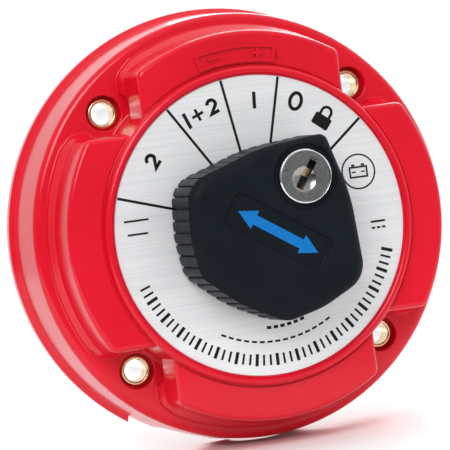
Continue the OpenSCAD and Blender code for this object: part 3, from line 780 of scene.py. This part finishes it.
def small_marks():
    """Ring with a battery sign, a direct-current sign and lines for the fine print."""
    battery = (69.5, 33.3)
    yield printed(on_dial(oval(5, 5, 48), *battery), 0.45, closed=True)
    outline = [(-2.6, -1.6), (2.6, -1.6), (2.6, 1.3), (-2.6, 1.3)]
    yield printed(upright_on(outline, *battery), 0.5, closed=True)
    for u in (-1.5, 1.5):
        yield printed(upright_on([(u - 0.5, 1.9), (u + 0.5, 1.9)], *battery), 0.6)
    for u in (-1.4, 1.4):
        yield printed(upright_on([(u - 0.6, -0.1), (u + 0.6, -0.1)], *battery), 0.4)
    direct_current = (97, 35.5)
    yield printed(upright_on([(-2.2, 0.9), (2.2, 0.9)], *direct_current), 0.6)
    for u in (-1.6, 0, 1.6):
        yield printed(upright_on([(u - 0.5, -0.9), (u + 0.5, -0.9)], *direct_current), 0.6)
    for clockwise, radius, half in ((-80.5, 37, 3.6), (-86.5, 36.6, 3)):
        yield printed(upright_on([(-half, 0), (half, 0)], clockwise, radius), 0.55)
    pitch, dash = 4, 2.6
    for radius, start, end, width in ((29.5, 162, 186, 0.9), (33.6, 150, 208, 0.6)):
        for at in range(start, end, pitch):
            yield printed(polar_line(radius, at, at + dash, 4), width)


dial()
for name, solids in (
    ("dial_sector_lines", sector_lines()),
    ("dial_position_marks", position_marks()),
    ("dial_graduation", graduation()),
    ("dial_small_marks", small_marks())
):
    finish(new_piece(name, solids), "case", "black_plastic", black_ink)


# ------------------------------------------------------------ mounting bushings

# The bore is brass down to this depth and bright below it.
mouth_depth = 6


def bushing_profile():
    """Closed section of a brass tube whose domed flange rolls into the bore."""
    lip = 0.5
    crest = bushing_bore + lip
    outer = flange_radius + 0.3
    gap = 0.1
    chamfer = 0.2
    tube = [
        (bushing_bore, flange_top - mouth_depth),
        (bushing_bore, chamfer),
        (bushing_bore + chamfer, 0),
        (bushing_radius - 0.15, 0),
        (bushing_radius, 0.15),
        (bushing_radius, bushing_seat),
        (outer - gap, bushing_seat)
    ]
    dome = []
    for angle in range(0, QUARTER, 9):
        out = (outer - crest) * cos(radians(angle))
        up = (flange_top - bushing_seat - gap) * (sin(radians(angle)) - 1)
        dome.append((crest + out, flange_top + up))
    return tube + dome + arc(lip, QUARTER, HALF_TURN, 8, (crest, flange_top - lip))


def bushings():
    """Four brass tubes, each with a rolled flange and a bright bore."""
    piece = new_piece("brass_bushings", around_bushings(lathe(bushing_profile(), 72, wrap=True)))
    piece.data.materials.append(brass)
    piece.data.materials.append(bright)
    for face in piece.data.polygons:
        centre = face.center / MM
        off_axis = hypot(abs(centre.x) - boss_offset, abs(centre.z) - boss_offset)
        inside = off_axis < bushing_bore + 0.01 and -centre.y < flange_top - mouth_depth
        face.material_index = 1 if inside else 0
    return finish(piece, "case", "brass", brass, "mounting_bushings")


bushings()


# ------------------------------------------------------------ knob

off_angle = 56
lock_offset = 15.2
lock_centre = on_circle(lock_offset, off_angle)
# Arcs of the knob's outline, anticlockwise from the tip: centre x, y and radius.
# The wide ones make the long sides bulge.
side_arcs = [(-14.5, -17.5, 45), (-2.6, 19.4, 8.5), (2.7, -2.3, 30), (-17.2, 10.9, 6.8)]
mirrored_arcs = [(x, -y, radius) for x, y, radius in reversed(side_arcs)]
knob_arcs = [(25.8, 0, 2.8)] + side_arcs + [(14.9, 0, 40)] + mirrored_arcs
knob_draft = 0.4
knob_edge = 4.2
edge_start = 28
flute_pitch = 3.4
flute_depth = 0.8
panel_depth = 1.1
panel_offset = -2.2


def knob_path():
    """The knob's outline as arcs and straights: (length, centre, radius, angle, turn).

    A straight has no turn, and its centre is its first point.
    """
    count = len(knob_arcs)
    normals = []
    for i, (x, y, radius) in enumerate(knob_arcs):
        next_x, next_y, next_radius = knob_arcs[(i + 1) % count]
        span = hypot(next_x - x, next_y - y)
        lean = degrees(asin((radius - next_radius) / span))
        normals.append(degrees(atan2(next_y - y, next_x - x)) - QUARTER + lean)
    path = []
    for i, (x, y, radius) in enumerate(knob_arcs):
        start = normals[i - 1]
        turn = (normals[i] - start) % FULL_TURN
        path.append((radius * radians(turn), (x, y), radius, start, turn))
        begin = on_circle(radius, normals[i], (x, y))
        next_x, next_y, next_radius = knob_arcs[(i + 1) % count]
        end = on_circle(next_radius, normals[i], (next_x, next_y))
        path.append((hypot(end[0] - begin[0], end[1] - begin[1]), begin, 0, normals[i], 0))
    return path


def along_knob(path, distance):
    """Point of the outline and its outward angle at a distance round it."""
    for length, centre, radius, angle, turn in path:
        if distance <= length:
            if turn:
                here = angle + turn * distance / length
                return on_circle(radius, here, centre), here
            return on_circle(distance, angle + QUARTER, centre), angle
        distance -= length
    return along_knob(path, distance)


def knob_shell():
    """Drafted solid with narrow upright grooves between flat flutes all round.

    The grooves end at a crease, where the smooth rounded top edge begins.
    """
    path = knob_path()
    total = sum(step[0] for step in path)
    flutes = round(total / flute_pitch)
    # Places across one flute, as shares of its width, and the groove's depth there.
    shape = (
        (0, 1), (0.05, 0.97), (0.11, 0.3), (0.15, 0.05), (0.2, 0), (0.34, 0), (0.5, 0.02),
        (0.66, 0.08), (0.8, 0.18), (0.9, 0.28), (0.94, 0.93)
    )
    line = []
    for k in range(flutes):
        for share, depth in shape:
            point, angle = along_knob(path, (k + share) * total / flutes)
            line.append((point, angle, depth))
    tall = knob_top - knob_bottom
    wall_top = tall - knob_edge * (1 - sin(radians(edge_start)))
    # Rows of points from the foot up: inset, height, and how deep the grooves are.
    rows = [(0.5, 0, 0.6), (0.15, 0.15, 0.9), (0, 0.5, 1)]
    rows += [(knob_draft * k / 4, (wall_top - 0.4) * k / 4, 1) for k in (1, 2, 3, 4)]
    rows.append((knob_draft, wall_top - 0.12, 0.5))
    rows.append((knob_draft, wall_top, 0))
    for k in range(1, 11):
        lean = radians(edge_start + (QUARTER - edge_start) * k / 10)
        inset = knob_draft + knob_edge * (cos(radians(edge_start)) - cos(lean))
        rows.append((inset, tall - knob_edge * (1 - sin(lean)), 0))
    rings = []
    for inset, height, fade in rows:
        ring = []
        for point, angle, depth in line:
            place = on_circle(-inset - flute_depth * depth * fade, angle, point)
            ring.append((*place, knob_bottom + height))
        rings.append(ring)
    return loft(rings)


def panel_cutter(depth):
    """Recess across the knob with sloping, rounded walls."""
    width, length, corner = 10.2, 32, 2.5
    # How much wider the recess is than its middle outline at each height.
    slopes = (
        (-0.6, -depth), (-0.35, -depth + 0.15), (0, -0.3),
        (0.25, -0.08), (0.5, 0), (0.6, 0.5)
    )
    rings = []
    for grow, height in slopes:
        outline = rectangle(width + 2 * grow, length + 2 * grow, corner + grow, (panel_offset, 0))
        rings.append([(x, y, knob_top + height) for x, y in outline])
    return loft(rings)


def knob():
    """Fluted shell with its lock bores, shaft bore, hollow underside and panel."""
    body = new_piece("knob_fluted", [turned(knob_shell(), off_angle)])
    recess_bottom = knob_top - 1.1
    lock_recess = lathe(rounded([
        (8.6, recess_bottom, 0),
        (9.1, recess_bottom, 0.25),
        (9.35, knob_top, 0.15),
        (9.8, knob_top, 0)
    ]) + [(9.8, knob_top + beyond)], 96, lock_centre)
    rim_bore, thread_bore, nut_bore = 7.85, 6.35, 8.15
    hub_bore, hub_bore_top = 5, 57
    rim_seat = lock_face_top - 1.7
    underside = knob_bottom - beyond
    hub_radius, wall_radius, hollow_top = 6.8, 19.8, knob_bottom + 4.2
    hollow = [
        (hub_radius, underside), (wall_radius, underside),
        (wall_radius, hollow_top), (hub_radius, hollow_top)
    ]
    combine(
        body, "DIFFERENCE",
        [lock_recess],
        [cylinder(rim_bore, rim_seat, knob_top + beyond, lock_centre, 96)],
        [cylinder(thread_bore, knob_bottom + 2, knob_top, lock_centre, 96)],
        [lathe(hollow, 96, wrap=True)],
        [cylinder(nut_bore, underside, knob_bottom + 6, lock_centre, 64)],
        [cylinder(hub_bore, underside, hub_bore_top, steps=64)],
        [turned(panel_cutter(panel_depth), off_angle)]
    )
    return finish(body, "knob", "black_plastic", black, "knob", sharp=30)


def double_arrow():
    """Outline of a plain arrow with two heads."""
    half, head, shaft, wide = 13, 5.4, 1.4, 2.8
    neck = half - head
    lower = [(-half, 0), (-neck, -wide), (-neck, -shaft), (neck, -shaft), (neck, -wide)]
    return lower + [(-x, -y) for x, y in lower]


def knob_print():
    """Arrow printed on the floor of the knob's panel."""
    panel_floor = knob_top - panel_depth
    outline = [(panel_offset + v, u) for u, v in double_arrow()]
    arrow = turned(prism(outline, panel_floor - sunk, panel_floor + 0.06), off_angle)
    return finish(new_piece("knob_arrow_print", [arrow]), "knob", "black_plastic", blue_ink)


knob()
knob_print()


# ------------------------------------------------------------ key lock

plug_face = lock_face_top - 0.3
plug_back = plug_face - 1.2
key_width = 2.2


def barrel():
    """Threaded body with a bright bevelled rim, open for the plug."""
    bore, thread, seat, edge, chamfer = 5.25, 6.3, 7.2, 7.65, 0.3
    rim_back = lock_face_top - 1.65
    rim = rounded([
        (seat, plug_back, 0),
        (seat, lock_face_top - 0.1, 0.05),
        (seat + 0.12, lock_face_top, 0.06),
        (edge, lock_face_top - 0.3, 0.1),
        (edge, rim_back, 0.1),
        (thread, rim_back, 0)
    ])
    body = [(thread, lock_back + chamfer), (thread - chamfer, lock_back)]
    body += [(bore, lock_back), (bore, plug_back)]
    solid = lathe(rim + body, 96, lock_centre, wrap=True)
    return finish(new_piece("lock_rim", [solid]), "knob", "lock_chrome", chrome, "lock_barrel")


def along_key(solid):
    """A solid drawn round the lock's axis with the keyway along x, put in its place."""
    return turned(moved(solid, lock_offset, 0), off_angle)


def plug():
    """Turning face with a dished middle, a keyway and a square tail."""
    body_radius, face_radius, face_back = 5.2, 7.15, plug_face - 1.1
    head = lathe(rounded([
        (body_radius, lock_back, 0.2),
        (body_radius, face_back, 0),
        (face_radius, face_back, 0),
        (face_radius, plug_face, 0.18),
        (3, plug_face, 0)
    ]), 96)
    piece = new_piece("lock_plug_face", [along_key(head)])
    outside = plug_face + beyond
    bowl_radius, bowl_reach = 7.8, 3.7
    bowl_centre = plug_face + sqrt(bowl_radius ** 2 - bowl_reach ** 2)
    bowl_end = degrees(asin(bowl_reach / bowl_radius)) - QUARTER
    bowl = arc(bowl_radius, -89, bowl_end, 12, (0, bowl_centre))
    dish = lathe(bowl + [(bowl_reach + 0.1, outside)], 72)
    mouth = prism(rectangle(9.6, key_width, 0.12, (0.9, 0)), plug_face - 1, outside)
    keyway = prism(rectangle(9.1, key_width, 0.12, (0.6, 0)), plug_face - 11, outside)
    combine(
        piece, "DIFFERENCE",
        [along_key(moved(dish, -1, 0))],
        [along_key(mouth)],
        [along_key(keyway)],
        [along_key(cylinder(1, lock_back - beyond, lock_back + 3, steps=24))]
    )
    tail = prism(rectangle(3.2, 3.2, 0.1), lock_back - 1.6, lock_back + beyond)
    combine(piece, "UNION", [along_key(tail)])
    return finish(piece, "key_plug", "lock_chrome", nickel, "lock_plug", sharp=28)


def wafers():
    """Brass wafers that stand into the keyway from either side."""
    wall, tip, thickness = key_width / 2, 0.3, 0.6
    solids = []
    for start, end, side, depth in ((0, 2.4, 1, 1.6), (0.6, 3.2, -1, 5.2), (-3.2, -0.6, 1, 8)):
        top = plug_face - depth
        outline = rounded([
            (start, side * wall, 0),
            (start, side * tip, 0.2),
            (end, side * tip, 0.2),
            (end, side * wall, 0)
        ])
        solids.append(along_key(prism(outline, top - thickness, top)))
    return finish(new_piece("lock_wafers", solids), "key_plug", "lock_chrome", brass)


barrel()
plug()
wafers()


# ------------------------------------------------------------ terminals and base

def threaded_stud():
    """Stud with a real helical thread and a chamfered end."""
    pitch, depth, steps, rows_per_turn = 1.5875, 0.75, 40, 8
    chamfer, slope = 1.1, 0.9
    bottom, top = stud_end, base_bottom
    rows = ceil((top - bottom) / pitch * rows_per_turn)
    rings = []
    for row in range(rows + 1):
        height = bottom + (top - bottom) * row / rows
        taper = max(0, chamfer - (height - bottom)) * slope
        ring = []
        for k in range(steps):
            phase = (height / pitch + k / steps) % 1
            # 1 on the flat crest and 0 in the flat root, with a straight flank between.
            ridge = min(1, max(0, 1.25 - abs(phase - 0.5) * 3.2))
            radius = min(stud_shank - depth * (1 - ridge), stud_shank - taper)
            ring.append((*on_circle(radius, FULL_TURN * k / steps), height))
        rings.append(ring)
    return loft(rings)


def studs():
    """Three studs, each with a head sunk in the base and a rivet through its contact."""
    head_radius, head_height, rivet_radius, plate = 6.5, 2.2, 3, 2.2
    head = lathe([
        (stud_shank, base_bottom - 0.01),
        (stud_shank, base_top - head_height),
        (head_radius, base_top - head_height),
        (head_radius, base_top),
        (rivet_radius, base_top),
        (rivet_radius, base_top + plate)
    ], 48)
    solids = around_studs(threaded_stud()) + around_studs(head)
    piece = new_piece("threaded_studs", solids)
    return finish(piece, "case", "tinned_stud", tin, "terminal_studs", sharp=40)


def nuts():
    """Hexagon nuts with turned chamfers."""
    flats = 14.3
    corner = flats / sqrt(3)
    chamfer = 0.75
    cone = lathe([
        (corner - 1.5, nut_bottom),
        (corner, nut_bottom + chamfer),
        (corner, nut_top - chamfer),
        (corner - 1.5, nut_top)
    ], 72)
    bore = lathe([
        (stud_shank + 0.9, nut_bottom - 0.4),
        (stud_shank + 0.02, nut_bottom + 0.6),
        (stud_shank + 0.02, nut_top - 0.5),
        (stud_shank + 0.6, nut_top + 0.4)
    ], 40)
    nut = new_piece("tool", [prism(arc(corner, 0, 300, 5), nut_bottom, nut_top)])
    combine(nut, "INTERSECT", [cone])
    combine(nut, "DIFFERENCE", [bore])
    piece = new_piece("hexagon_nuts", around_studs(as_solid(nut)))
    return finish(piece, "case", "tinned_stud", tin, "terminal_nuts")


def washers():
    """Split spring washers whose ends stand a little apart."""
    inner, outer, rise, clearance = stud_shank + 0.15, 8.15, 0.22, 0.04
    split, split_angle, steps = 9, 35, 72
    section = rectangle(outer - inner, collar_bottom - nut_top - rise - clearance, 0.25)
    rings = []
    for k in range(steps + 1):
        share = k / steps
        angle = split_angle + split / 2 + (FULL_TURN - split) * share
        height = (nut_top + collar_bottom) / 2 + rise * (share - 0.5)
        rings.append([
            (*on_circle((inner + outer) / 2 + u, angle), height + v) for u, v in section
        ])
    piece = new_piece("split_washers", around_studs(loft(rings)))
    return finish(piece, "case", "steel", steel, "terminal_washers")


def base_screws():
    """Slotted pan head screws."""
    low = heights("base_screws")[0]
    head_radius, shank_end = 3.4, 33
    blank = lathe(rounded([
        (1.2, low, 0),
        (head_radius, low + 0.25, 1.1),
        (head_radius, base_bottom, 0.1),
        (screw_bore, base_bottom, 0)
    ]) + [(screw_bore, shank_end), (0.6, shank_end + 0.8)], 48)
    slot = prism(rectangle(9, 1), low - beyond, low + 1.2)
    screw = new_piece("tool", [blank])
    combine(screw, "DIFFERENCE", [turned(slot, 20)])
    piece = new_piece("slotted_screws", around_base_screws(as_solid(screw)))
    return finish(piece, "case", "steel", steel, "base_screws")


def contact_base():
    """Insulating disc with stud collars, a moulded ring and raised stud numbers."""
    ring_inner, ring_outer, ring_height = 16, 18, 0.5
    disc = lathe(rounded([
        (ring_inner, base_bottom, 0),
        (ring_inner + 0.3, base_bottom - ring_height, 0.2),
        (ring_outer - 0.3, base_bottom - ring_height, 0.2),
        (ring_outer, base_bottom, 0.1),
        (base_radius, base_bottom, 0.6),
        (base_radius, base_top, 0.3),
        (30, base_top, 0)
    ]), 192)
    base = new_piece("base_moulding", [disc])
    collar_root = 11.5
    collar = lathe(rounded([
        (7, collar_bottom, 0),
        (9.5, collar_bottom, 0.4),
        (9.9, base_bottom + sunk, 0.5),
        (collar_root, base_bottom + sunk, 0)
    ]) + [(collar_root, base_bottom + beyond)], 72)
    combine(base, "UNION", *[[solid] for solid in around_studs(collar)])
    # The digits are read from behind, so the 2 is drawn mirrored.
    aside = 18.6
    one_line = [(aside, 13), (aside, 17.5)]
    two_line = [(-aside - u, 15.2 + v) for u, v in digit_two(4.2, 2.6)]
    for line in (one_line, two_line):
        combine(base, "UNION", [strip(line, 0.9, base_bottom - 0.4, base_bottom + 0.3)])
    combine(
        base, "DIFFERENCE",
        around_studs(cylinder(stud_shank + 0.1, 0, base_top + beyond)),
        around_studs(cylinder(6.6, base_top - 2.2, base_top + beyond)),
        around_base_screws(cylinder(2, 0, base_top + beyond, steps=32)),
        [cylinder(3.05, 0, base_top + beyond, steps=32)]
    )
    return finish(base, "case", "phenolic", phenolic, "contact_base")


studs()
nuts()
washers()
base_screws()
contact_base()


# ------------------------------------------------------------ parts kept from the CAD

for material, names in (
    (rubber, ("base_gasket", "shaft_seal")),
    (nylon, ("rotor",)),
    (copper, ("common_contact", "battery_1_contact", "battery_2_contact", "moving_contact")),
    (steel, ("lock_strike", "strike_screws", "detent_spring", "contact_springs")),
    (steel, ("drive_shaft", "shaft_pin", "rotor_clip", "lock_nut", "lock_tongue", "tongue_screw"))
):
    for name in names:
        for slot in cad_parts[name].material_slots:
            slot.material = material


# ------------------------------------------------------------ floor, lights, camera

def floor():
    """Pale floor just under the lowest point of the case."""
    half, front = 0.5, 0.25
    gap = 0.0002
    low = cad_box[0][2] - gap
    mesh = bpy.data.meshes.new("studio_floor")
    corners = [(-half, -front, low), (half, -front, low), (half, half, low), (-half, half, low)]
    mesh.from_pydata(corners, [], [(0, 1, 2, 3)])
    piece = bpy.data.objects.new("studio_floor", mesh)
    bpy.context.scene.collection.objects.link(piece)
    f = Finish("pale_floor", Roughness=0.9)
    f.colours(f.noise(300), (0.88, 0.88, 0.88), (0.92, 0.92, 0.92))
    mesh.materials.append(f.material)


def softbox(name, place, size, power):
    """Square area light that faces the origin, at the back of the switch."""
    light = bpy.data.lights.new(name, "AREA")
    light.shape = "SQUARE"
    light.size = size
    light.energy = power
    lamp = bpy.data.objects.new(name, light)
    bpy.context.scene.collection.objects.link(lamp)
    lamp.location = place
    lamp.rotation_euler = (-Vector(place)).to_track_quat("-Z", "Y").to_euler()


def studio():
    """White backdrop, brightest above, behind and to the right, and two soft lights."""
    world = bpy.data.worlds.new("studio")
    bpy.context.scene.world = world
    world.use_nodes = True
    nodes, links = world.node_tree.nodes, world.node_tree.links
    along = nodes.new("ShaderNodeVectorMath")
    along.operation = "DOT_PRODUCT"
    brightest = (0.5, 0.6, 0.62)
    along.inputs[1].default_value = brightest
    links.new(nodes.new("ShaderNodeTexCoord").outputs["Generated"], along.inputs[0])
    level = nodes.new("ShaderNodeMapRange")
    limits = {"From Min": -1, "From Max": 1, "To Min": 0, "To Max": 1.3}
    for socket, value in limits.items():
        level.inputs[socket].default_value = value
    links.new(along.outputs["Value"], level.inputs["Value"])
    shown = nodes.new("ShaderNodeMix")
    shown.inputs["B"].default_value = 1
    links.new(nodes.new("ShaderNodeLightPath").outputs["Is Camera Ray"], shown.inputs["Factor"])
    links.new(level.outputs["Result"], shown.inputs["A"])
    background = nodes["Background"]
    background.inputs["Color"].default_value = (1, 1, 1, 1)
    links.new(shown.outputs["Result"], background.inputs["Strength"])
    softbox("key_softbox", (-0.35, -0.68, 0.44), 0.45, 4.9)
    softbox("back_softbox", (0.5, 0.9, 0.6), 0.7, 7)


def camera():
    """Camera at the viewing angle, a little left of the axis and tilted."""
    azimuth, elevation, roll = radians(-15.403), radians(1.812), radians(-7.342)
    distance = 0.64457
    back = Vector((
        sin(azimuth) * cos(elevation), -cos(azimuth) * cos(elevation), sin(elevation)
    ))
    right = Vector((0, 0, 1)).cross(back).normalized()
    up = back.cross(right)
    tilted_right = right * cos(roll) + up * sin(roll)
    tilted_up = up * cos(roll) - right * sin(roll)
    data = bpy.data.cameras.new("camera")
    data.sensor_width = 36
    data.lens = 167.76
    data.shift_x = 0.0085
    data.shift_y = 0.0017
    data.clip_start = 0.01
    data.clip_end = 20
    rig = bpy.data.objects.new("camera", data)
    bpy.context.scene.collection.objects.link(rig)
    axes = Matrix((tilted_right, tilted_up, back)).transposed().to_4x4()
    rig.matrix_world = Matrix.Translation(back * distance) @ axes
    bpy.context.scene.camera = rig


floor()
studio()
camera()
bpy.context.scene.view_settings.view_transform = "Standard"
